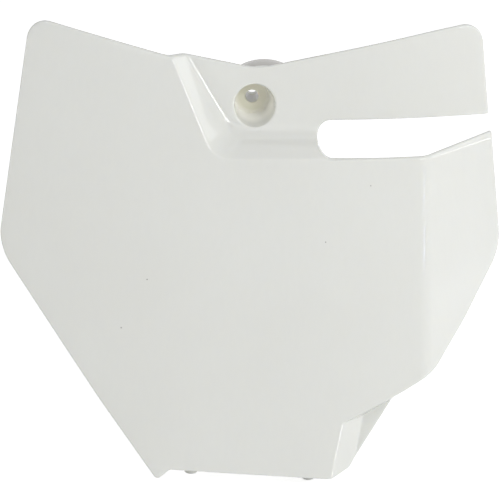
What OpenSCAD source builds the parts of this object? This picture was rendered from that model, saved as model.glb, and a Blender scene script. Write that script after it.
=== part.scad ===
// Racing number board: the plate on the front of an off-road motorcycle.
// One moulding. The origin is on the axis of the top screw, on the face its head seats on.
// +Y points back to the fork, +Z up, and every edge is cut along Y, the way the mould opens.

/* [Plate] */
// Wall thickness of the moulding
wall = 2.5; // [2:0.1:3.2]
// Angle that the plate leans back from upright
lean = 20; // [15:1:25]
// How far the flat panel stands in front of the screw seat, square to the panel
panel_set = 29; // [27:0.5:31]
// Half width of the stretch that is quite flat
flat_half = 25; // [15:1:30]
// Radius of the gentle sweep of the left side
left_sweep_r = 750; // [600:10:1200]
// Radius of the gentle sweep before the right bend
right_sweep_r = 430; // [400:10:700]
// Distance of the right bend from the screw
bend_x = 88; // [85:1:90]
// Radius of the right bend
bend_r = 12; // [8:1:15]
// Angle of the right wing to the panel
wing_angle = 48; // [42:1:50]

/* [Outline] */
// Left side at its widest, from the screw
left_reach = 133.9; // [129:0.1:136]
// Right side at its widest, from the screw
right_reach = 134.8; // [130:0.1:138]
// Top left corner above the screw
left_top = 46.6; // [43:0.1:49]
// Top right corner above the screw
right_top = 41.4; // [38:0.1:44]
// Notch of the top edge above the screw
notch_top = 18.8; // [18:0.1:20]
// Bottom left tip below the screw
bottom_drop = 181; // [178:0.5:184]
// Radius of the two top corners
corner_r = 10; // [5:0.5:11]

/* [Hose slot] */
// Height of the slot
slot_h = 15.2; // [13:0.1:16]
// Rise of the slot's upper edge towards its open end
slot_rise = 0.9; // [0:0.1:3]
// Middle of the slot's closed end below the screw
slot_drop = 15.5; // [14.8:0.1:16]
// Closed end of the slot, from the screw
slot_start = 34.6; // [33:0.2:38]

/* [Channel] */
// How far the channel floor stands in front of the screw seat
floor_set = 16; // [14:0.5:17]
// Angle by which the channel floor leans less than the panel
floor_tilt = 8; // [5:0.5:9]
// Where the arm starts to sweep back, from the screw
arm_flat = 50; // [40:1:60]
// Radius of the arm's sweep
arm_sweep_r = 325; // [280:5:500]
// Lower edge of the channel below the screw, along the panel
ledge_drop = 34.5; // [33.5:0.1:35]
// Slope of the channel's ledge and side wall
ledge_slope = 46; // [42:1:50]
// Radius between the ledge and the floor
ledge_fillet = 12; // [6:1:14]
// Radius of the channel's corner in front view
channel_corner_r = 12.5; // [6:0.5:14]

/* [Screw cup] */
// Diameter of the cup at its mouth
cup_mouth_d = 22; // [20:0.5:23]
// Diameter of the cup at its floor
cup_floor_d = 18.5; // [17:0.5:19.5]
// Diameter of the screw hole
bore_d = 7; // [6.4:0.1:8]
// Length of the screw tube behind the seat
tube_len = 20; // [16:1:24]
// Outer diameter of the screw tube
tube_d = 14; // [12:0.5:16]

/* [Lower right dent] */
// Slope of the dent's steep side
dent_side_slope = 40; // [30:1:45]
// Slope of the dent's upper side
dent_top_slope = 27; // [20:1:35]
// Corner of the dent, to the right of the screw
dent_x = 48; // [44:0.5:52]
// Corner of the dent below the screw, along the panel
dent_drop = 173; // [169:0.5:177]

/* [Rear collar] */
// Radius of the collar behind the cup
collar_r = 26; // [24:0.5:26.5]
// Middle of the collar, to the right of the screw
collar_x = 6.4; // [3:0.1:6.5]
// Middle of the collar below the screw
collar_drop = 6; // [4:0.5:7]
// Thickness of the ribs and of the collar
rib_t = 2.2; // [1.8:0.1:2.6]

/* [Lower pegs] */
// Distance between the two pegs
peg_spread = 62; // [58:1:66]
// Middle of the pegs, from the screw
peg_mid_x = -1.3; // [-3:0.1:1]
// Diameter of a peg
peg_d = 7; // [6:0.5:8]
// Pegs in front of the screw seat
peg_set = 82; // [80:0.5:83]
// How far a peg stands out under the edge beside it
peg_stand = 6; // [4:0.2:7]

/* [Hidden] */
plate_white = [0.90, 0.90, 0.88];

// Sizes of the cutting solids, well past the plate, and how far two faces bite when they meet
far = 90;
reach = 240;
bite = 0.05;

// Places that follow from the driving sizes
slot_r = slot_h / 2;
left_edge_slope = 1.352;
left_edge_bow = 0.7;
left_foot = [-50, -bottom_drop];
left_mid = left_foot + 30 * [-1, left_edge_slope] - left_edge_bow * [1, 0.7];
nub_in = left_foot + [7, 5.2];
right_foot = [42, -bottom_drop + 0.4];
foot = [51.4, -bottom_drop + 3.7];
step = foot + [23.4, 36.2];
wing_foot = step + [22.6, 11.9];
wing_mid = wing_foot + [16.3, 17.7];
wing_side = wing_mid + (right_reach - wing_mid[0]) * [1, 1.32];
left_side = [-left_reach, -bottom_drop + (left_reach + left_foot[0]) * left_edge_slope];
notch = [3, notch_top];
cup_depth = floor_set / (cos(lean) * cos(floor_tilt) + sin(lean) * sin(floor_tilt));
mouth_r = cup_mouth_d / 2;
cup_r = cup_floor_d / 2;
cup_wall = 2.4;
cup_base = 3;
collar_back = 3;
shelf_t = 3;

// Outline of the plate seen along Y: each corner, and the radius that rounds it
outline_corners = [
    [[-left_reach + 16.9, left_top], corner_r],
    [left_side, 26],
    [left_mid, 100],
    [left_foot, 2.6],
    [nub_in, 1.5],
    [right_foot, 2.4],
    [foot, 4.5],
    [step, 2],
    [wing_foot, 10],
    [wing_mid, 60],
    [wing_side, 24],
    [[right_reach - 5.2, -slot_drop - slot_r], 0],
    [[right_reach - 8.7, -slot_drop + slot_r], 0],
    [[right_reach - 13.2, right_top], corner_r],
    [[97, right_top - 4], 60],
    [notch, 40],
    [notch + [-50.2, 10], 20],
];

function unit(a) = a / norm(a);
function short_turn(t) = t > 180 ? t - 360 : t < -180 ? t + 360 : t;
function polar(r, a) = r * [cos(a), sin(a)];

// Arc that rounds the corner b between its neighbours a and c
function corner_arc(a, b, c, r, steps = 6) =
    let (
        to_a = unit(a - b),
        to_c = unit(c - b),
        half = acos(to_a * to_c) / 2,
        middle = b + unit(to_a + to_c) * r / sin(half),
        first = b + to_a * r / tan(half) - middle,
        last = b + to_c * r / tan(half) - middle,
        from = atan2(first[1], first[0]),
        turn = short_turn(atan2(last[1], last[0]) - from)
    )
    [for (i = [0:steps]) middle + polar(r, from + turn * i / steps)];

// Closed outline from a list of [corner, radius]
function rounded(corners) =
    let (n = len(corners))
    [for (i = [0:n - 1])
        let (p = corners[i][0], r = corners[i][1])
        each r == 0 ? [p]
            : corner_arc(corners[(i + n - 1) % n][0], p, corners[(i + 1) % n][0], r)];

// Arc that leaves the point start at heading from and ends at heading to, then moved by off
// to the left of its own path
function sweep(start, from, to, r, steps, off) =
    [for (i = [1:steps])
        let (a = from + (to - from) * i / steps)
        start + r * [sin(a) - sin(from), cos(from) - cos(a)] + off * [-sin(a), cos(a)]];

// The panel seen from above along its own face, moved back by off. X across, Y deeper
right_turn = asin((bend_x - flat_half) / right_sweep_r);
left_turn = asin((left_reach + 8 - flat_half) / left_sweep_r);
bend_start = [bend_x, right_sweep_r * (1 - cos(right_turn)) - panel_set];
wing_start = bend_start
    + bend_r * [sin(wing_angle) - sin(right_turn), cos(right_turn) - cos(wing_angle)];
wing_end = wing_start + polar(80, wing_angle);

function panel_profile(off) = concat(
    [for (i = [6:-1:1])
        let (a = left_turn * i / 6)
        [-flat_half - left_sweep_r * sin(a), left_sweep_r * (1 - cos(a)) - panel_set]
            + off * [sin(a), cos(a)]],
    [[-flat_half, off - panel_set], [flat_half, off - panel_set]],
    sweep([flat_half, -panel_set], 0, right_turn, right_sweep_r, 5, off),
    sweep(bend_start, right_turn, wing_angle, bend_r, 8, off),
    [wing_end + off * [-sin(wing_angle), cos(wing_angle)]],
    [[wing_end[0], far], [-reach, far], [-reach, 0]]
);

// The arm seen from above along the channel floor, moved back by off, and the air before it
arm_turn = 16;
function arm_profile(off) = concat(
    [[-reach, -far], [-reach, off - floor_set], [arm_flat, off - floor_set]],
    sweep([arm_flat, -floor_set], 0, arm_turn, arm_sweep_r, 6, off),
    [[reach, -floor_set + reach * tan(arm_turn)], [reach, -far]]
);

// The ledge seen from the side, [up, deeper]: its slope, then the fillet to the floor, then
// out of the way behind the floor, and the air before it. The fillet ends a bite behind the
// floor, so that the two faces cross and don't just touch
function ledge_profile(off) =
    let (
        s = ledge_slope,
        way = polar(1, s),
        start = [-ledge_drop, -panel_set] + off * [-sin(s), cos(s)],
        floor_off = off + bite - floor_set - start[1] * cos(floor_tilt) - start[0] * sin(floor_tilt),
        run = floor_off / sin(s + floor_tilt),
        r = ledge_fillet + off,
        first = start + (run - r * tan((s + floor_tilt) / 2)) * way,
        arc = [for (i = [0:6])
            let (a = s - (s + floor_tilt) * i / 6)
            first + r * [sin(s) - sin(a), cos(a) - cos(s)]],
        last = arc[6]
    )
    concat(
        [start - 70 * way],
        arc,
        [last + [0, 2], [reach, last[1] + 2], [reach, -far - 80]]
    );

// Frame of the panel: X across, Y deeper, Z up along the panel
module leaning() {
    rotate([-lean, 0, 0]) children();
}

// Prism of a profile seen from above, standing in that frame
module standing(points) {
    translate([0, 0, -reach]) linear_extrude(2 * reach) polygon(points);
}

// Air before one plane that passes through at and falls back by slope along the heading a
module slope_air(a, at, slope, off) {
    fall = reach * tan(slope);
    edge = off / cos(slope);
    translate([at[0], -panel_set, at[1]]) rotate([0, -a, 0])
        standing([[-reach, edge - fall], [reach, edge + fall], [reach, edge - fall]]);
}

// Air before a rounded corner of steps planes between the headings a and b
module corner_air(middle, r, a, b, slope_a, slope_b, steps, off) {
    intersection_for (i = [0:steps]) {
        turn = a + (b - a) * i / steps;
        slope_air(turn, middle - polar(r, turn), slope_a + (slope_b - slope_a) * i / steps, off);
    }
}

// Side wall of the channel: a point of its crest, and its heading
wall_top = [-41.5, 17.4];
wall_heading = 22.5;
channel_mid = [
    wall_top[0] + (channel_corner_r
        + (wall_top[1] + ledge_drop - channel_corner_r) * sin(wall_heading)) / cos(wall_heading),
    -ledge_drop + channel_corner_r,
];

// Air of the hose channel, moved back by off
module channel_air(off) {
    intersection() {
        rotate([floor_tilt, 0, 0]) standing(arm_profile(off));
        translate([-reach, 0, 0]) rotate([90, 0, 90]) linear_extrude(2 * reach)
            polygon([for (p = ledge_profile(off)) [p[1], p[0]]]);
        corner_air(
            channel_mid, channel_corner_r, wall_heading, wall_heading + 56,
            ledge_slope, ledge_slope, 5, off
        );
    }
}

// Air of the dent at the lower right, moved back by off
dent_headings = [-11, -62];
dent_corner_r = 5;
module dent_air(off) {
    n_a = polar(1, dent_headings[0]);
    n_b = polar(1, dent_headings[1]);
    corner = [dent_x, -dent_drop];
    middle = corner + dent_corner_r * (n_a + n_b) / (1 + n_a * n_b);
    translate([0, 1, 0]) corner_air(
        middle, dent_corner_r, dent_headings[0], dent_headings[1],
        dent_side_slope, dent_top_slope, 3, off
    );
}

// Everything behind the front face, moved back by off
module behind_face(off) {
    difference() {
        union() {
            leaning() standing(panel_profile(off));
            translate([arm_flat - 5, -panel_set - 10, -slot_drop]) cube([reach, 2 * far, reach / 2]);
        }
        leaning() channel_air(off);
        leaning() dent_air(off);
    }
}

// Round solid along Y from the first depth to the second
module along_y(y0, y1, r0, r1) {
    translate([0, y0, 0]) rotate([-90, 0, 0]) cylinder(h = y1 - y0, r1 = r0, r2 = r1, $fn = 64);
}

// The plate itself: its two faces, cut along Y to the outline
module skin() {
    intersection() {
        difference() {
            behind_face(0);
            behind_face(wall);
        }
        translate([0, reach, 0]) rotate([90, 0, 0]) linear_extrude(2 * reach)
            polygon(rounded(outline_corners));
    }
}

// Open slot that the hoses pass through
module slot() {
    translate([slot_start + slot_r, 0, -slot_drop]) {
        along_y(-far, far, slot_r, slot_r);
        translate([0, far, 0]) rotate([90, 0, 0]) linear_extrude(2 * far)
            polygon([[0, -slot_r], [0, slot_r], [far, slot_r + slot_rise], [far, -slot_r]]);
    }
}

// Screw tube, cup wall, collar and the ribs between them, each running forward into the skin
cup_flare = (mouth_r - cup_r) / cup_depth;
cup_run = 40;
module collar_tube(r, back) {
    translate([collar_x, 0, -collar_drop]) along_y(-far, back, r, r);
}

module rear_mount() {
    rib_back = collar_back - 1;
    difference() {
        collar_tube(collar_r, collar_back);
        collar_tube(collar_r - rib_t, collar_back + 1);
    }
    along_y(-cup_run, cup_base, cup_r + cup_wall + cup_run * cup_flare, cup_r + cup_wall);
    along_y(0, tube_len, tube_d / 2, tube_d / 2);
    translate([collar_x - collar_r + 1, -far, -rib_t / 2])
        cube([2 * collar_r - 2, far + rib_back, rib_t]);
    translate([-rib_t / 2, -far, -collar_drop - collar_r + 1])
        cube([rib_t, far + rib_back, 2 * collar_r - 2]);
}

// One lower peg with its shelf and web, and its tip at the given height
shelf_z = -bottom_drop + 11;
shelf_half = 6;
module peg(x, tip) {
    chamfer = 1;
    r = peg_d / 2;
    translate([x, -peg_set, 0]) {
        translate([0, 0, tip]) cylinder(h = chamfer, r1 = r - chamfer, r2 = r, $fn = 48);
        translate([0, 0, tip + chamfer]) cylinder(h = shelf_z + 1 - tip - chamfer, r = r, $fn = 48);
        translate([-shelf_half, -30, shelf_z]) cube([2 * shelf_half, 30 + r + 1, shelf_t]);
        translate([rib_t / 2, 0, shelf_z]) rotate([0, -90, 0]) linear_extrude(rib_t)
            polygon([[0, -30], [0, r], [22, -7], [22, -30]]);
    }
}

// Height of the plate's lower edge at x
function lower_edge(x) =
    nub_in[1] + (x - nub_in[0]) * (right_foot[1] - nub_in[1]) / (right_foot[0] - nub_in[0]);

module number_plate() {
    color(plate_white) difference() {
        union() {
            skin();
            intersection() {
                rear_mount();
                behind_face(wall / 2);
            }
            for (side = [-1, 1]) {
                x = peg_mid_x + side * peg_spread / 2;
                intersection() {
                    peg(x, lower_edge(x) - peg_stand);
                    leaning() standing(panel_profile(wall / 2));
                }
            }
        }
        slot();
        along_y(-cup_run, 0, cup_r + cup_run * cup_flare, cup_r);
        along_y(-1, tube_len + 1, bore_d / 2, bore_d / 2);
    }
}

number_plate();
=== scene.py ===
import math

import bmesh
import bpy
import numpy as np
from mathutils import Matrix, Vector, geometry


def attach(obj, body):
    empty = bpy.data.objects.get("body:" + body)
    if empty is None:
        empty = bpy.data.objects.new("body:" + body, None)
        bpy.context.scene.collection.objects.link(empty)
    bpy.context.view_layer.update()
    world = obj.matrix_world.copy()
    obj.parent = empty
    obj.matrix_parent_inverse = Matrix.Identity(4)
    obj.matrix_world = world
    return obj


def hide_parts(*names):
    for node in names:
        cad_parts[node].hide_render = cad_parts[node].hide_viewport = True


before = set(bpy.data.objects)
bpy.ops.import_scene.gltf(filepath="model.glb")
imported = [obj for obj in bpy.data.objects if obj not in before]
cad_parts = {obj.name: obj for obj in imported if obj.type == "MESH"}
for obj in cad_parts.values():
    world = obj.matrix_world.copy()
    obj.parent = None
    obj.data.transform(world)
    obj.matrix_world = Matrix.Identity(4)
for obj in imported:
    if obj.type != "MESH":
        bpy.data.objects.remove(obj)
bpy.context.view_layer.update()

# Lengths are in mm until a mesh is made. X across, Y back to the fork, Z up, and the origin on
# the screw seat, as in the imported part. In the panel's own frame U is across, V up along the
# panel and W deeper.
MM = 0.001

WALL = 2.5
LEAN = math.radians(20)
PANEL_SET = 29
FLAT_HALF = 25
LEFT_SWEEP_R = 750
RIGHT_SWEEP_R = 430
BEND_X = 88
BEND_R = 12
WING_ANGLE = math.radians(48)
# How far the curves of the panel, the wing and the arm run on past the plate's edge
PANEL_RUN = 8
WING_RUN = 80
ARM_START = -250
ARM_RUN = 100

LEFT_REACH = 133.85
RIGHT_REACH = 134.75
LEFT_TOP = 46.55
RIGHT_TOP = 41.4
NOTCH = (3, 18.8)
BOTTOM_DROP = 181
CORNER_R = 10

SLOT_R = 7.6
SLOT_TILT = 0.9 / 90
SLOT_DROP = 15.5
SLOT_END_X = 42.2

FLOOR_SET = 16
FLOOR_TILT = math.radians(8)
ARM_FLAT = 50
ARM_SWEEP_R = 325
ARM_TURN = math.radians(16)
LEDGE_DROP = 34.5
LEDGE_SLOPE = math.tan(math.radians(46))
WALL_TOP = (-41.5, 17.4)
WALL_HEADING = math.radians(22.5)
WALL_SLOPES = (1.25, 0.98)
CHANNEL_CORNER = 8.4
CREST_SOFT = 0.6
CREASE_SOFT = 2.2
LEDGE_SOFT = 6.0

# The chamfer of the wing's top front edge: its width at the bend, just past it and at the end
BEVEL_WIDTHS = (0, 1.2, 3.2)
BEVEL_SLOPE = 0.5
BEVEL_SOFT = 0.6

# The dent: where its side meets its top, which way those two face, the slopes of side, top and
# bottom, how wide the side is, and the fillets under the side and under the top
DENT_AT = (48, -173)
DENT_HEADINGS = (math.radians(-11), math.radians(-62))
DENT_SLOPES = (math.radians(38), math.radians(78), math.radians(12))
DENT_WIDE = 9.6
DENT_DEEPER = 1.0
DENT_SOFT = (0.7, 0.8)

MOUTH_SHIFT = 1.45
CUP_R = 9.25
CUP_FLARE = 0.107
CUP_WALL = 2.4
CUP_BASE = 3
BORE_R = 3.5
TUBE_R = 7
TUBE_LEN = 20
# Rounds of the cup's mouth in front and behind, of its seat, of the bore's front and rear ends,
# of the tube's rear end and its foot, and of the cup's base
MOUTH_ROUNDS = (1.1, 1.0)
SEAT_ROUND = 1.2
BORE_ROUNDS = (0.5, 0.4)
TUBE_ROUND = 0.5
TUBE_FILLET = 1.2
BASE_ROUND = 0.6
# The collar's middle, x and z, and its outer radius
COLLAR = (6.4, -6, 26)
COLLAR_BACK = 3
COLLAR_ROUND = 0.5
RIB_T = 2.2
RIB_START = 11.0
RIB_BACK = 2

PEG_XS = (-32.3, 29.7)
PEG_TIPS = (-182.4, -185.9)
PEG_Y = -82
PEG_R = 3.5
PEG_ROUND = 0.9
SHELF_Z = -170
SHELF_T = 3
SHELF_HALF = 6
WEB_LEAN = 10.5 / 22

# Rounds of the skin's free edge, front and back
EDGE_R = 0.9
BACK_EDGE_R = 0.6

# How finely the meshes are cut: the grid of the skin's cells, their sizes and the bend that
# splits them, steps along the outline and its corners, and steps round the cup, the collar and
# a peg
GRID_X = (-136, 137)
GRID_Z = (-184, 48)
GRID_SHIFT = (0.37, 0.53)
CELL = 2.4
LEAST_CELL = 0.2
BEND_SHOWN = 0.04
OUTLINE_STEP = 1.1
CORNER_STEP = 0.8
HUB_R = 15.5
HUB_STEPS = 144
COLLAR_STEPS = 160
PEG_STEPS = 48
# Creases sharper than this aren't shaded smooth
SHARP = math.radians(38)

# How often, and by what share, a place on the leaning skin is mended until it fits
FIT_STEPS = 24
FIT_SHARE = 0.6


# The two faces of the skin


def soft_max(a, b, k):
    """The greater of two heights, with a fillet k high where they meet."""
    h = np.maximum(k - np.abs(a - b), 0)
    return np.maximum(a, b) + h * h / (4 * k)


def soft_min(a, b, k):
    """The lesser of two heights, with a fillet k high where they meet."""
    return -soft_max(-a, -b, k)


def arc(centre, r, start, end, steps=90):
    """Points of an arc whose heading turns from start to end."""
    a = np.linspace(start, end, steps)
    return centre[0] + r * np.sin(a), centre[1] - r * np.cos(a)


def panel_curve(off):
    """U and W of the panel seen along its own face, moved back by off."""
    left_turn = math.asin((LEFT_REACH + PANEL_RUN - FLAT_HALF) / LEFT_SWEEP_R)
    right_turn = math.asin((BEND_X - FLAT_HALF) / RIGHT_SWEEP_R)
    lu, lw = arc((-FLAT_HALF, LEFT_SWEEP_R - PANEL_SET), LEFT_SWEEP_R - off, -left_turn, 0)
    ru, rw = arc((FLAT_HALF, RIGHT_SWEEP_R - PANEL_SET), RIGHT_SWEEP_R - off, 0, right_turn)
    bend_w = RIGHT_SWEEP_R * (1 - math.cos(right_turn)) - PANEL_SET
    centre = (
        BEND_X - BEND_R * math.sin(right_turn),
        bend_w + BEND_R * math.cos(right_turn),
    )
    bu, bw = arc(centre, BEND_R - off, right_turn, WING_ANGLE)
    end_u = bu[-1] + WING_RUN * math.cos(WING_ANGLE)
    end_w = bw[-1] + WING_RUN * math.sin(WING_ANGLE)
    return np.concatenate((lu, ru, bu, [end_u])), np.concatenate((lw, rw, bw, [end_w]))


def arm_curve(off):
    """The channel floor and arm seen along the floor, moved back by off."""
    u, w = arc((ARM_FLAT, ARM_SWEEP_R - FLOOR_SET), ARM_SWEEP_R - off, 0, ARM_TURN)
    end_u, end_w = u[-1] + ARM_RUN, w[-1] + ARM_RUN * math.tan(ARM_TURN)
    return np.concatenate(([ARM_START], u, [end_u])), np.concatenate(([w[0]], w, [end_w]))


PANEL = {}
ARM = {}


def depth(u, v, off, behind_slot):
    """How deep the skin lies at a place of the panel's frame."""
    if off not in PANEL:
        PANEL[off] = panel_curve(off)
        ARM[off] = arm_curve(off)
    panel = np.interp(u, *PANEL[off])
    floor = (np.interp(u, *ARM[off]) - v * math.sin(FLOOR_TILT)) / math.cos(FLOOR_TILT)

    # Channel: its side wall on the left turns into the ledge below
    from_wall = (u - WALL_TOP[0]) * math.cos(WALL_HEADING) + (v - WALL_TOP[1]) * math.sin(
        WALL_HEADING
    )
    from_ledge = v + LEDGE_DROP
    run = soft_min(from_wall, from_ledge, CHANNEL_CORNER)
    turn = np.clip(0.5 + (from_wall - from_ledge) / (2 * CHANNEL_CORNER), 0, 1)
    turn = turn * turn * (3 - 2 * turn)
    down = np.clip((WALL_TOP[1] - v) / (WALL_TOP[1] + LEDGE_DROP - 8), 0, 1)
    wall_slope = WALL_SLOPES[0] + (WALL_SLOPES[1] - WALL_SLOPES[0]) * down
    slope = wall_slope + (LEDGE_SLOPE - wall_slope) * turn
    side = run * slope - PANEL_SET + off * np.sqrt(1 + slope * slope)
    channel = soft_min(side, floor, CREASE_SOFT + (LEDGE_SOFT - CREASE_SOFT) * turn)

    # Dent at the lower right: its side, its steep top, and a bottom that rises to the right
    runs = []
    for heading in DENT_HEADINGS:
        runs.append((u - DENT_AT[0]) * math.cos(heading) + (v - DENT_AT[1]) * math.sin(heading))
    rises = (
        runs[0] * math.tan(DENT_SLOPES[0]),
        runs[1] * math.tan(DENT_SLOPES[1]),
        DENT_WIDE * math.tan(DENT_SLOPES[0]) - (runs[0] - DENT_WIDE) * math.tan(DENT_SLOPES[2]),
    )
    side, top, bottom = (rise + off / math.cos(a) for rise, a in zip(rises, DENT_SLOPES))
    dent = soft_min(soft_min(side, bottom, DENT_SOFT[0]), top, DENT_SOFT[1])
    dent = dent - PANEL_SET + DENT_DEEPER

    skin = soft_max(soft_max(panel, channel, CREST_SOFT), dent, CREST_SOFT)
    return np.where(behind_slot, channel, skin)


def wing_bevel(x, z):
    """How far the front face falls back along the wing's top edge."""
    rim = -SLOT_DROP - SLOT_R
    wide = np.interp(x, (BEND_X, BEND_X + 6, LEFT_REACH), BEVEL_WIDTHS)
    back = soft_max(z - rim + wide, 0.0, BEVEL_SOFT) * BEVEL_SLOPE
    return np.where((wide > 0) & (z < -SLOT_DROP), back, 0)


def skin_y(x, z, off):
    """Y of the skin, moved back by off, for arrays of x and z."""
    x, z = np.asarray(x, float), np.asarray(z, float)
    behind_slot = (x > SLOT_END_X) & (z > -SLOT_DROP)
    cos, sin = math.cos(LEAN), math.sin(LEAN)
    y = np.full(x.shape, -20.0)
    for _ in range(FIT_STEPS):
        fit = (depth(x, z * cos + y * sin, off, behind_slot) + z * sin) / cos
        y += FIT_SHARE * (fit - y)
    return y + wing_bevel(x, z) if off == 0 else y


def skin_at(x, z, off):
    """Y of the skin at one place."""
    return float(skin_y([x], [z], off)[0])


# Outline


def unit(v):
    """A vector of length 1 along v."""
    return v / np.linalg.norm(v)


def corner(a, b, c, r, step):
    """Points and inward normals of the arc that rounds corner b between a and c."""
    to_a, to_c = unit(a - b), unit(c - b)
    half = math.acos(float(to_a @ to_c)) / 2
    middle = b + unit(to_a + to_c) * r / math.sin(half)
    first, last = b + to_a * r / math.tan(half) - middle, b + to_c * r / math.tan(half) - middle
    start = math.atan2(first[1], first[0])
    turn = math.atan2(last[1], last[0]) - start
    turn = (turn + math.pi) % (2 * math.pi) - math.pi
    count = max(6, math.ceil(abs(turn) * r / step))
    angles = start + turn * np.linspace(0, 1, count + 1)
    out = np.stack((np.cos(angles), np.sin(angles)), 1)
    return middle + out * r, -out * np.sign(turn)


def outline():
    """The plate's edge seen along Y, with the slot: points and inward normals."""
    left_foot = np.array([-50, -BOTTOM_DROP])
    foot = np.array([51.4, -BOTTOM_DROP + 3.7])
    hollow = foot + [23.4, 36.2]
    wing_foot = hollow + [22.6, 11.9]
    wing_mid = wing_foot + [16.3, 17.7]
    side_z = wing_mid[1] + (RIGHT_REACH - wing_mid[0]) * 1.32
    arm_x = RIGHT_REACH - 8.8
    arm_z = -SLOT_DROP + SLOT_R + (arm_x - SLOT_END_X) * SLOT_TILT
    # Each corner's place and radius, from the top left down round the foot and up to the wing,
    # the slot, the arm and the notch. A radius of 0 is at an end of the slot's half circle.
    corners = [
        ((-LEFT_REACH + 16.9, LEFT_TOP), CORNER_R),
        ((-LEFT_REACH, -BOTTOM_DROP + (LEFT_REACH - 50) * 1.352), 26),
        (left_foot + [-30.7, 40.07], 100),
        (left_foot, 2.6),
        (left_foot + [7, 5.2], 1.5),
        ((42, -BOTTOM_DROP + 0.4), 2.4),
        (foot, 4.5),
        (hollow, 2),
        (wing_foot, 10),
        (wing_mid, 60),
        ((RIGHT_REACH, side_z), 24),
        ((RIGHT_REACH - 5.2, -SLOT_DROP - SLOT_R), 1.5),
        ((SLOT_END_X, -SLOT_DROP - SLOT_R), 0),
        ((SLOT_END_X - SLOT_R * SLOT_TILT, -SLOT_DROP + SLOT_R), 0),
        ((arm_x, arm_z), 1.0),
        ((RIGHT_REACH - 13.2, RIGHT_TOP), CORNER_R),
        ((97, RIGHT_TOP - 4), 60),
        (NOTCH, 40),
        ((NOTCH[0] - 50.2, NOTCH[1] + 10), 20),
    ]
    places = [np.array(c[0], float) for c in corners]
    pieces = []
    for i, (_, r) in enumerate(corners):
        before, here, after = places[i - 1], places[i], places[(i + 1) % len(places)]
        if r:
            pieces.append(corner(before, here, after, r, CORNER_STEP))
        elif here[1] < -SLOT_DROP:
            a = np.linspace(-math.pi / 2, -1.5 * math.pi + SLOT_TILT, 30)
            out = np.stack((np.cos(a), np.sin(a)), 1)
            pieces.append((np.array([SLOT_END_X, -SLOT_DROP]) + out * SLOT_R, out))
    points, normals = [], []
    for i, (p, n) in enumerate(pieces):
        points.append(p)
        normals.append(n)
        start, end = p[-1], pieces[(i + 1) % len(pieces)][0][0]
        count = math.ceil(np.linalg.norm(end - start) / OUTLINE_STEP)
        t = np.linspace(0, 1, count + 1)[1:-1, None]
        along = unit(end - start)
        points.append(start + (end - start) * t)
        normals.append(np.repeat([[-along[1], along[0]]], count - 1, 0))
    return np.concatenate(points), np.concatenate(normals)


def inside(points, loop):
    """Which points lie in a closed loop."""
    x, z = points[:, :1], points[:, 1:]
    ax, az = loop[:, 0], loop[:, 1]
    bx, bz = np.roll(ax, -1), np.roll(az, -1)
    crosses = (az > z) != (bz > z)
    with np.errstate(divide="ignore", invalid="ignore"):
        at = ax + (z - az) * (bx - ax) / (bz - az)
    return (np.sum(crosses & (x < at), 1) % 2) == 1


def clear_of(points, others, gap):
    """Which points keep a gap from all the others."""
    keep = np.ones(len(points), bool)
    for i in range(0, len(points), 2000):
        block = points[i : i + 2000, None] - others[None]
        keep[i : i + 2000] = np.min(np.sum(block * block, 2), 1) > gap * gap
    return keep


# Meshes


class Shell:
    """Vertices and faces of one closed surface."""

    def __init__(self):
        self.points, self.faces, self.count = [], [], 0

    def add(self, x, y, z):
        """Add vertices and give their numbers."""
        first = self.count
        p = np.stack(np.broadcast_arrays(x, y, z), 1)
        self.points.append(p)
        self.count += len(p)
        return np.arange(first, self.count)

    def strip(self, a, b):
        """Quads between two closed rings of equal length."""
        n = len(a)
        for i in range(n):
            j = (i + 1) % n
            self.faces.append((a[i], a[j], b[j], b[i]))

    def mesh(self, name):
        """The Blender mesh, in metres."""
        me = bpy.data.meshes.new(name)
        me.from_pydata((np.concatenate(self.points) * MM).tolist(), [], self.faces)
        bm = bmesh.new()
        bm.from_mesh(me)
        bmesh.ops.recalc_face_normals(bm, faces=bm.faces)
        bm.to_mesh(me)
        bm.free()
        return me


def new_object(name, mesh):
    """An object of the scene at the origin."""
    obj = bpy.data.objects.new(name, mesh)
    bpy.context.scene.collection.objects.link(obj)
    return obj


def bend_of(p, h):
    """How far the front face departs from straight over a reach of h, at each point."""
    y = skin_y(p[:, 0], p[:, 1], 0)
    most = np.zeros(len(p))
    for dx, dz in ((h, 0), (0, h), (h * 0.7, h * 0.7), (h * 0.7, -h * 0.7)):
        one = skin_y(p[:, 0] + dx, p[:, 1] + dz, 0)
        two = skin_y(p[:, 0] - dx, p[:, 1] - dz, 0)
        most = np.maximum(most, np.abs(one + two - 2 * y))
    return most


def lattice(loop, hub):
    """Points of the inner sheet: cells that are split where the skin turns sharply."""
    size = CELL
    xs, zs = np.arange(*GRID_X, size) + GRID_SHIFT[0], np.arange(*GRID_Z, size) + GRID_SHIFT[1]
    cells = np.stack(np.meshgrid(xs, zs), 2).reshape(-1, 2)
    rim = np.concatenate((loop, hub))
    found = []
    while size > LEAST_CELL:
        if size > 2 * LEAST_CELL:
            bends = bend_of(cells, size) > BEND_SHOWN
        else:
            bends = np.zeros(len(cells), bool)
        p = cells[~bends]
        p = p[inside(p, loop) & (np.hypot(p[:, 0], p[:, 1]) > HUB_R)]
        found.append(p[clear_of(p, rim, 0.45 * size)])
        size /= 2
        split = cells[bends][:, None] + size / 2 * np.array([[-1, -1], [1, -1], [1, 1], [-1, 1]])
        cells = split.reshape(-1, 2)
    return np.concatenate(found)


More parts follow.
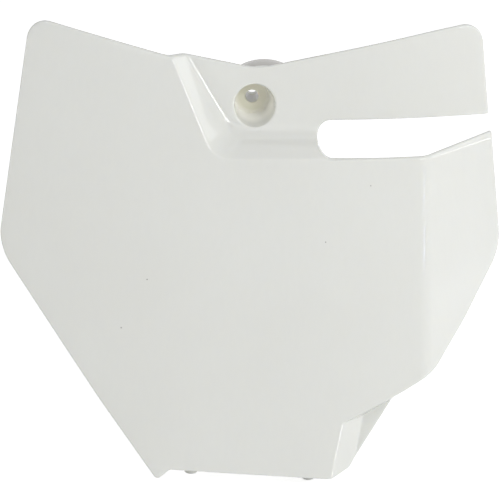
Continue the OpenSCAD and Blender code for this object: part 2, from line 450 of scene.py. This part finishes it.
def mouth_rings(off, foot_r, fillet_r, steps):
    """Rings from the hub on one face of the skin, round a fillet, onto the cup's cone.

    Each ring is its radii, its depths and how far its middle is to the right. The cone's
    foot has radius foot_r, and its mouth lies to the right of the screw.
    """
    angles = np.linspace(0, 2 * math.pi, HUB_STEPS, endpoint=False)
    ca, sa = np.cos(angles), np.sin(angles)

    def face(r, shift):
        return skin_y(shift + r * ca, r * sa, off)

    r = np.full(HUB_STEPS, float(foot_r))
    for _ in range(12):
        y = face(r, MOUTH_SHIFT)
        r = foot_r - CUP_FLARE * y
    slope = face(r + 2, MOUTH_SHIFT) - face(r + 1, MOUTH_SHIFT)
    d0 = np.stack((-np.ones(HUB_STEPS), -slope), 1)
    d0 /= np.linalg.norm(d0, axis=1)[:, None]
    d1 = unit(np.array([-CUP_FLARE, 1.0]))
    turn = np.arccos(np.clip(d0 @ d1, -1, 1))
    tangent = (fillet_r * np.tan(turn / 2))[:, None]
    start, end = np.stack((r, y), 1) - tangent * d0, np.stack((r, y), 1) + tangent * d1
    rings = []
    for t in np.linspace(0, 1, 8)[1:-1]:
        rr, shift = HUB_R + (start[:, 0] - HUB_R) * t, MOUTH_SHIFT * t
        rings.append((rr, face(rr, shift), shift))
    side = d1 - d0 * (d0 @ d1)[:, None]
    side /= np.linalg.norm(side, axis=1)[:, None]
    for k in range(steps + 1):
        a = (turn * k / steps)[:, None]
        p = start + fillet_r * (np.sin(a) * d0 + (1 - np.cos(a)) * side)
        rings.append((p[:, 0], p[:, 1], MOUTH_SHIFT))
    return rings, end, (ca, sa)


def quarter(centre_r, centre_y, r, start, end, steps=5):
    """Points of an arc in the (r, y) plane, angles in degrees from the r axis towards y."""
    a = np.radians(np.linspace(start, end, steps + 1))
    return [(centre_r + r * math.cos(t), centre_y + r * math.sin(t)) for t in a]


def plate_shell():
    """The skin with its rounded edge, the cup and the screw tube, as one closed surface."""
    edge, normal = outline()
    hub_a = np.linspace(0, 2 * math.pi, HUB_STEPS, endpoint=False)
    hub = HUB_R * np.stack((np.cos(hub_a), np.sin(hub_a)), 1)
    loop = edge + normal * EDGE_R
    inner = lattice(loop, hub)
    flat = np.concatenate((loop, hub, inner))
    n, m = len(loop), len(hub)
    rims = [(i, (i + 1) % n) for i in range(n)] + [(n + i, n + (i + 1) % m) for i in range(m)]
    out = geometry.delaunay_2d_cdt([Vector(p) for p in flat], rims, [], 1, 1e-6)
    spots, triangles, origin = np.array([tuple(v) for v in out[0]]), out[2], out[3]
    assert len(spots) == len(flat) and all(o and o[0] == i for i, o in enumerate(origin))
    triangles = np.array(triangles)
    middles = spots[triangles].mean(1)
    hub_edge = HUB_R * math.cos(math.pi / HUB_STEPS) - 0.001
    triangles = triangles[np.hypot(middles[:, 0], middles[:, 1]) > hub_edge]

    shell = Shell()
    sheets = []
    for off, r, sign in ((0, EDGE_R, 1), (WALL, BACK_EDGE_R, -1)):
        ids = shell.add(flat[:, 0], skin_y(flat[:, 0], flat[:, 1], off), flat[:, 1])
        shell.faces += [tuple(ids[t]) for t in triangles]
        rings = [ids[:n]]
        for angle in np.radians((67.5, 45, 22.5, 0)):
            p = edge + normal * r * (1 - math.cos(angle))
            y = skin_y(p[:, 0], p[:, 1], off) + sign * r * (1 - math.sin(angle))
            ring = shell.add(p[:, 0], y, p[:, 1])
            shell.strip(rings[-1], ring)
            rings.append(ring)
        sheets.append((rings[-1], ids[n : n + m]))
    shell.strip(sheets[0][0], sheets[1][0])

    # Cup: from the front sheet in through the mouth, down the bore, and back over the outside.
    # Rings between the rounds keep the faces short.
    front, end, (ca, sa) = mouth_rings(0, CUP_R, MOUTH_ROUNDS[0], 6)
    back, back_end, _ = mouth_rings(WALL, CUP_R + CUP_WALL, MOUTH_ROUNDS[1], 5)
    rings = list(front)
    foot = (CUP_R + CUP_FLARE * SEAT_ROUND - 0.02, -SEAT_ROUND)
    for t in (0.25, 0.5, 0.75):
        r, y = end[:, 0] + (foot[0] - end[:, 0]) * t, end[:, 1] + (foot[1] - end[:, 1]) * t
        rings.append((r, y, MOUTH_SHIFT * (1 - t)))
    inward = quarter(CUP_R - 1.15, -SEAT_ROUND, SEAT_ROUND, 0, 90)
    near, far = BORE_ROUNDS
    inward += [(6.2, 0)] + quarter(BORE_R + near, near, near, -90, -180)
    inward += [(BORE_R, 7), (BORE_R, 13)] + quarter(BORE_R + far, TUBE_LEN - far, far, 180, 90)
    inward += quarter(TUBE_R - TUBE_ROUND, TUBE_LEN - TUBE_ROUND, TUBE_ROUND, 90, 0)
    inward += [(TUBE_R, 14), (TUBE_R, 9)]
    inward += quarter(TUBE_R + TUBE_FILLET, CUP_BASE + TUBE_FILLET, TUBE_FILLET, 180, 270)
    inward += quarter(CUP_R + CUP_WALL - BASE_ROUND, CUP_BASE - BASE_ROUND, BASE_ROUND, 90, 0)
    rings += [(np.full(HUB_STEPS, r), np.full(HUB_STEPS, y), 0) for r, y in inward]
    r, y = (back_end[:, 0] + CUP_R + CUP_WALL) / 2, back_end[:, 1] / 2
    rings.append((r, y, MOUTH_SHIFT / 2))
    rings += list(reversed(back))
    last = sheets[0][1]
    for r, y, shift in rings:
        ring = shell.add(shift + r * ca, y, r * sa)
        shell.strip(last, ring)
        last = ring
    shell.strip(last, sheets[1][1])
    return shell


def collar_shell():
    """The collar behind the cup, from the middle of the skin back to its rounded edge."""
    a = np.linspace(0, 2 * math.pi, COLLAR_STEPS, endpoint=False)
    outer, inner, soft = COLLAR[2], COLLAR[2] - RIB_T, COLLAR_ROUND
    shell = Shell()
    # Where the depth is None, the ring lies in the skin
    section = [(outer, None), (outer, -8)] + quarter(outer - soft, COLLAR_BACK - soft, soft, 0, 90, 3)
    section += quarter(inner + soft, COLLAR_BACK - soft, soft, 90, 180, 3)
    section += [(inner, -8), (inner, None)]
    rings = []
    for r, y in section:
        x, z = COLLAR[0] + r * np.cos(a), COLLAR[1] + r * np.sin(a)
        rings.append(shell.add(x, skin_y(x, z, WALL / 2) if y is None else y, z))
    for one, two in zip(rings, rings[1:] + rings[:1]):
        shell.strip(one, two)
    return shell


def plank(name, points, axis, half, at=0.0, soft=0.4):
    """A flat piece whose outline is points, 2 * half thick along axis 0 (x) or 2 (z)."""
    bm = bmesh.new()
    rows = []
    for side in (at - half, at + half):
        row = []
        for p in points:
            place = (side, p[0], p[1]) if axis == 0 else (p[0], p[1], side)
            row.append(bm.verts.new(Vector(place) * MM))
        rows.append(row)
    bm.faces.new(rows[0])
    bm.faces.new(rows[1])
    n = len(points)
    for i in range(n):
        j = (i + 1) % n
        bm.faces.new((rows[0][i], rows[0][j], rows[1][j], rows[1][i]))
    bmesh.ops.recalc_face_normals(bm, faces=bm.faces)
    sharp = [e for e in bm.edges if e.calc_face_angle(0) > math.radians(50)]
    bmesh.ops.bevel(
        bm, geom=sharp, offset=soft * MM, segments=3, profile=0.5, affect="EDGES"
    )
    me = bpy.data.meshes.new(name)
    bm.to_mesh(me)
    bm.free()
    return new_object(name, me)


def rib_points(start, end, along_x):
    """Outline of a rib from start to end, its front edge in the middle of the skin."""
    s = np.linspace(start, end, 18)
    other = np.zeros(len(s))
    y = skin_y(s, other, WALL / 2) if along_x else skin_y(other, s, WALL / 2)
    points = [(a, b) for a, b in zip(s, y)]
    return points + [(end, RIB_BACK), (start, RIB_BACK)]


def peg_shell(x, tip):
    """A peg with a rounded tip, from there up into its shelf."""
    a = np.linspace(0, 2 * math.pi, PEG_STEPS, endpoint=False)
    shell = Shell()
    flat_r = PEG_R - PEG_ROUND
    section = [(PEG_R * 0.3, tip), (flat_r, tip)]
    for t in (0.4, 0.8, 1.2, math.pi / 2):
        section.append((flat_r + PEG_ROUND * math.sin(t), tip + PEG_ROUND - PEG_ROUND * math.cos(t)))
    section += [(PEG_R, SHELF_Z - 1.5), (PEG_R, SHELF_Z + 1)]
    rings = []
    for r, z in section:
        rings.append(shell.add(x + r * np.cos(a), PEG_Y + r * np.sin(a), np.full(PEG_STEPS, float(z))))
    for one, two in zip(rings, rings[1:]):
        shell.strip(one, two)
    shell.faces.append(tuple(rings[0]))
    shell.faces.append(tuple(rings[-1]))
    return shell


def unite(base, tools):
    """Join the tools to the base as one solid."""
    for tool in tools:
        m = base.modifiers.new("join", "BOOLEAN")
        m.operation = "UNION"
        m.solver = "MANIFOLD"
        m.object = tool
    graph = bpy.context.evaluated_depsgraph_get()
    made = bpy.data.meshes.new_from_object(base.evaluated_get(graph))
    base.modifiers.clear()
    base.data = made
    for tool in tools:
        bpy.data.objects.remove(tool)


def rear_pieces():
    """The collar, ribs, shelves, webs and pegs behind the skin."""
    made = [new_object("collar", collar_shell().mesh("collar"))]
    cx, cz, r = COLLAR
    mid = RIB_T / 2
    reach = r - mid
    right = cx + math.sqrt(reach**2 - cz**2)
    left = cx - math.sqrt(reach**2 - cz**2)
    top = cz + math.sqrt(reach**2 - cx**2)
    foot = cz - math.sqrt(reach**2 - cx**2)
    spans = (
        ("rib_right", RIB_START, right, True),
        ("rib_left", -RIB_START, left, True),
        ("rib_top", RIB_START, top, False),
        ("rib_foot", -RIB_START, foot, False),
    )
    for name, start, end, along_x in spans:
        # The rib starts within the cup's wall, which widens towards the front
        points = rib_points(start * 1.08, end, along_x)
        points[-1] = (start * 0.98, RIB_BACK)
        if along_x:
            made.append(plank(name, points, 2, mid))
        else:
            made.append(plank(name, [(b, a) for a, b in points], 0, mid))
    for i, (x, tip) in enumerate(zip(PEG_XS, PEG_TIPS)):
        # The web's rear edge leans forward until it meets the skin
        front = skin_at(x, SHELF_Z, WALL / 2)
        web_h = (PEG_Y + PEG_R - front) / (WEB_LEAN + math.tan(LEAN)) - 0.5
        back_y = PEG_Y + PEG_R + 1
        shelf_top, web_foot, web_top = SHELF_Z + SHELF_T, SHELF_Z + 1, SHELF_Z + web_h
        shelf = [
            (front, SHELF_Z),
            (back_y, SHELF_Z),
            (back_y, shelf_top),
            (skin_at(x, shelf_top, WALL / 2), shelf_top),
        ]
        web = [
            (skin_at(x, web_foot, WALL / 2), web_foot),
            (PEG_Y + PEG_R, web_foot),
            (PEG_Y + PEG_R - WEB_LEAN * web_h, web_top),
            (skin_at(x, web_top, WALL / 2), web_top),
        ]
        made.append(plank(f"shelf_{i}", shelf, 0, SHELF_HALF, x))
        made.append(plank(f"web_{i}", web, 0, mid, x))
        made.append(new_object(f"peg_{i}", peg_shell(x, tip).mesh(f"peg_{i}")))
    return made


# Material


class Nodes:
    """Short names for building a node tree."""

    def __init__(self, tree):
        self.tree = tree
        tree.nodes.clear()

    def node(self, kind, **settings):
        """A new node with its settings."""
        n = self.tree.nodes.new(kind)
        for key, value in settings.items():
            setattr(n, key, value)
        return n

    def link(self, a, b):
        self.tree.links.new(a, b)

    def noise(self, where, scale, detail=2.0):
        """A noise value over a place."""
        n = self.node("ShaderNodeTexNoise")
        n.inputs["Scale"].default_value = scale
        n.inputs["Detail"].default_value = detail
        n.inputs["Roughness"].default_value = 0.5
        self.link(where, n.inputs["Vector"])
        return n.outputs[0]

    def spread(self, value, from_min, from_max, to_min, to_max):
        """A value moved from one range to another, held within it."""
        n = self.node("ShaderNodeMapRange", clamp=True)
        for name, number in zip(
            ("From Min", "From Max", "To Min", "To Max"), (from_min, from_max, to_min, to_max)
        ):
            n.inputs[name].default_value = number
        self.link(value, n.inputs["Value"])
        return n.outputs[0]

    def near(self, where, middle, inner, outer):
        """1 within inner of a middle in mm, 0 past outer."""
        n = self.node("ShaderNodeVectorMath", operation="DISTANCE")
        self.link(where, n.inputs[0])
        n.inputs[1].default_value = tuple(c * MM for c in middle)
        return self.spread(n.outputs["Value"], inner * MM, outer * MM, 1, 0)

    def blend(self, factor, a, b):
        """Colour a where the factor is 0, b where it is 1. Each is a colour or a socket."""
        n = self.node("ShaderNodeMix", data_type="RGBA")
        self.link(factor, n.inputs[0])
        for socket, colour in ((n.inputs[6], a), (n.inputs[7], b)):
            if isinstance(colour, tuple):
                socket.default_value = (*colour, 1)
            else:
                self.link(colour, socket)
        return n.outputs[2]


PLASTIC = (0.80, 0.804, 0.765)
PLASTIC_WARM = (0.79, 0.792, 0.75)
GRAIN = (0.74, 0.74, 0.71)
# Painted light: a lighter colour for the inside of the cup
CUP_PAINTED_LIGHT = (0.96, 0.95, 0.90)
YELLOWED = (0.80, 0.785, 0.655)
# Painted light: a lighter colour for the deep bore
BORE_PAINTED_LIGHT = (0.95, 0.94, 0.91)
# Painted shade for the collar's top behind the notch
PAINTED_SHADE = (0.46, 0.44, 0.40)
SPECK = (0.30, 0.29, 0.27)
# Small dark specks moulded into the front: x, z and radius
SPECKS = ((-55.0, -82.0, 0.30), (-68.6, -106.0, 0.32), (38.6, -63.5, 0.28), (62.3, -36.2, 0.26))


def plastic():
    """Glossy off-white plastic: faint grain, a yellowed cup, painted light in cup and bore, painted
    shade on the collar, specks.
    """
    m = bpy.data.materials.new("white_plastic")
    m.use_nodes = True
    t = Nodes(m.node_tree)
    where = t.node("ShaderNodeTexCoord").outputs["Object"]
    cloud = t.noise(where, 14, 3)
    drawn = t.node("ShaderNodeMapping")
    drawn.inputs["Scale"].default_value = (1, 1, 0.06)
    t.link(where, drawn.inputs["Vector"])
    grain = t.noise(drawn.outputs[0], 420, 2)
    colour = t.blend(t.spread(cloud, 0.35, 0.65, 0, 1), PLASTIC, PLASTIC_WARM)
    fine = t.spread(grain, 0.3, 0.7, 0, 0.12)
    colour = t.blend(fine, colour, GRAIN)

    # The cup's walls and bore get painted light, its seat has yellowed, and painted shade darkens the
    # collar's top behind the notch
    # Painted light lifts the shade on the cup's walls
    painted_light_in_cup = t.near(where, (MOUTH_SHIFT / 2, -5, 0), CUP_R + 1.2, 1.5 * CUP_R)
    colour = t.blend(painted_light_in_cup, colour, CUP_PAINTED_LIGHT)
    on_seat = t.near(where, (0, 6.5, 0), 9.6, 12.2)
    colour = t.blend(on_seat, colour, YELLOWED)
    # Painted light lifts the shade down the bore and on the cup floor round it
    painted_light_in_bore = t.near(where, (0, 7, 0), 7.2, 7.6)
    colour = t.blend(painted_light_in_bore, colour, BORE_PAINTED_LIGHT)
    place = t.node("ShaderNodeSeparateXYZ")
    t.link(where, place.inputs[0])
    # Painted shade: the collar's top behind the notch, past the skin, is darkened
    painted_shade = t.node("ShaderNodeMath", operation="MULTIPLY")
    t.link(t.spread(place.outputs["Y"], -11 * MM, -9 * MM, 0, 1), painted_shade.inputs[0])
    t.link(t.near(where, (COLLAR[0], -5, COLLAR[1] + COLLAR[2] + 40), 45, 49), painted_shade.inputs[1])
    colour = t.blend(painted_shade.outputs[0], colour, PAINTED_SHADE)
    for x, z, r in SPECKS:
        middle = (x, skin_at(x, z, 0), z)
        colour = t.blend(t.near(where, middle, r * 0.7, r * 1.4), colour, SPECK)
    shader = t.node("ShaderNodeBsdfPrincipled")
    t.link(colour, shader.inputs["Base Color"])
    t.link(t.spread(cloud, 0.3, 0.7, 0.04, 0.06), shader.inputs["Roughness"])
    shader.inputs["IOR"].default_value = 1.49
    shader.inputs["Subsurface Weight"].default_value = 0.35
    shader.inputs["Subsurface Radius"].default_value = (1.0, 0.95, 0.8)
    shader.inputs["Subsurface Scale"].default_value = 0.002
    bump = t.node("ShaderNodeBump")
    bump.inputs["Strength"].default_value = 0.01
    bump.inputs["Distance"].default_value = 0.0002
    t.link(t.noise(where, 900, 1), bump.inputs["Height"])
    t.link(bump.outputs[0], shader.inputs["Normal"])
    out = t.node("ShaderNodeOutputMaterial")
    t.link(shader.outputs[0], out.inputs["Surface"])
    return m


# Studio, in metres


WORLD_STRENGTH = 0.285
WORLD_COLOUR = (0.985, 0.99, 1.0, 1)
WHITE = (1, 1, 1, 1)
FLOOR_SHADES = ((0.86, 0.86, 0.86), (0.9, 0.9, 0.9))
FLOOR_GLOW = 0.7
FLOOR_HALF = 6
FLOOR_GAP = 0.0002

TARGET = Vector((-1.05, -55.3, -67.3)) * MM
CAMERA_ELEVATION = math.radians(20)
CAMERA_DISTANCE = 1.5
SENSOR = 36
FOCAL_PIXELS = 2862.6
PHOTO_PIXELS = 500

# Each lamp's name, azimuth, elevation, distance, size, power and colour. The strip and the panes
# are what the glossy creases and the bend mirror.
LAMPS = (
    ("strip", 42, 34, 1.6, (0.6, 0.34), 9.0, (0.97, 0.985, 1.0)),
    ("right", 58, -1, 1.6, (0.7, 0.18), 4.9, (1, 1, 1)),
    ("top", 5, 50, 1.6, (0.9, 1.1), 2.2, (1, 1, 1)),
    ("behind", 180, 72, 1.6, (0.8, 0.8), 1.2, (1, 1, 1)),
    ("beside", 110, 25, 1.6, (0.5, 0.4), 0.9, (1, 1, 1)),
    ("rim", 103, 8, 1.6, (0.3, 0.12), 0.8, (1, 1, 1)),
    ("left", -62, 18, 1.6, (0.6, 0.6), 4.2, (1, 1, 1)),
    ("pane_high", 50, 15.5, 1.66, (0.16, 0.009), 0.15, (0.55, 0.65, 1.0)),
    ("pane_low", 50, 13.3, 1.66, (0.16, 0.009), 0.15, (0.55, 0.65, 1.0)),
)


def looked_at(t):
    """A socket that is 1 where the camera looks, straight or by gloss or glass."""
    path = t.node("ShaderNodeLightPath")
    most = path.outputs["Is Camera Ray"]
    for name in ("Is Glossy Ray", "Is Transmission Ray"):
        n = t.node("ShaderNodeMath", operation="MAXIMUM")
        t.link(most, n.inputs[0])
        t.link(path.outputs[name], n.inputs[1])
        most = n.outputs[0]
    return most


def world_light(scene):
    """Soft light from all round, which is white where the camera looks."""
    world = bpy.data.worlds.new("studio")
    scene.world = world
    world.use_nodes = True
    t = Nodes(world.node_tree)
    light = t.node("ShaderNodeBackground")
    light.inputs["Strength"].default_value = WORLD_STRENGTH
    light.inputs["Color"].default_value = WORLD_COLOUR
    white = t.node("ShaderNodeBackground")
    white.inputs["Strength"].default_value = 1.0
    white.inputs["Color"].default_value = WHITE
    mix = t.node("ShaderNodeMixShader")
    t.link(looked_at(t), mix.inputs[0])
    t.link(light.outputs[0], mix.inputs[1])
    t.link(white.outputs[0], mix.inputs[2])
    t.link(mix.outputs[0], t.node("ShaderNodeOutputWorld").inputs["Surface"])


def floor():
    """Plain pale paper just under the pegs, which keeps the shadow and looks white."""
    m = bpy.data.materials.new("floor")
    m.use_nodes = True
    t = Nodes(m.node_tree)
    paper = t.node("ShaderNodeBsdfDiffuse")
    where = t.node("ShaderNodeTexCoord").outputs["Object"]
    shade = t.blend(t.noise(where, 3), *FLOOR_SHADES)
    t.link(shade, paper.inputs["Color"])
    glow = t.node("ShaderNodeEmission")
    glow.inputs["Strength"].default_value = FLOOR_GLOW
    both = t.node("ShaderNodeAddShader")
    t.link(paper.outputs[0], both.inputs[0])
    t.link(glow.outputs[0], both.inputs[1])
    mix = t.node("ShaderNodeMixShader")
    t.link(looked_at(t), mix.inputs[0])
    t.link(paper.outputs[0], mix.inputs[1])
    t.link(both.outputs[0], mix.inputs[2])
    t.link(mix.outputs[0], t.node("ShaderNodeOutputMaterial").inputs["Surface"])
    me = bpy.data.meshes.new("floor")
    s, z = FLOOR_HALF, PEG_TIPS[1] * MM - FLOOR_GAP
    me.from_pydata([(-s, -s, z), (s, -s, z), (s, s, z), (-s, s, z)], [], [(0, 1, 2, 3)])
    me.materials.append(m)
    new_object("floor", me)


def lamp(name, azimuth, elevation, distance, size, power, colour):
    """A soft oblong lamp that looks at the object. Azimuth 0 is in front, 90 on the right."""
    a, e = math.radians(azimuth), math.radians(elevation)
    way = Vector((math.sin(a) * math.cos(e), -math.cos(a) * math.cos(e), math.sin(e)))
    data = bpy.data.lights.new(name, "AREA")
    data.shape = "RECTANGLE"
    data.size, data.size_y = size
    data.energy = power
    data.color = colour
    obj = bpy.data.objects.new(name, data)
    obj.location = TARGET + way * distance
    obj.rotation_euler = (-way).to_track_quat("-Z", "Y").to_euler()
    bpy.context.scene.collection.objects.link(obj)


def camera():
    """The photograph's camera."""
    e = CAMERA_ELEVATION
    data = bpy.data.cameras.new("camera")
    data.sensor_width = SENSOR
    data.lens = SENSOR * FOCAL_PIXELS / PHOTO_PIXELS
    data.clip_end = 50
    obj = bpy.data.objects.new("camera", data)
    obj.location = TARGET + Vector((0, -math.cos(e), math.sin(e))) * CAMERA_DISTANCE
    obj.rotation_euler = (math.pi / 2 - e, 0, 0)
    bpy.context.scene.collection.objects.link(obj)
    bpy.context.scene.camera = obj


plate = new_object("plate", plate_shell().mesh("plate"))
unite(plate, rear_pieces())
plate.data.shade_smooth()
plate.data.set_sharp_from_angle(angle=SHARP)
plate.data.materials.clear()
plate.data.materials.append(plastic())
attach(plate, "root")
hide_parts("number_plate")

bpy.context.scene.view_settings.view_transform = "Standard"
world_light(bpy.context.scene)
floor()
for settings in LAMPS:
    lamp(*settings)
camera()
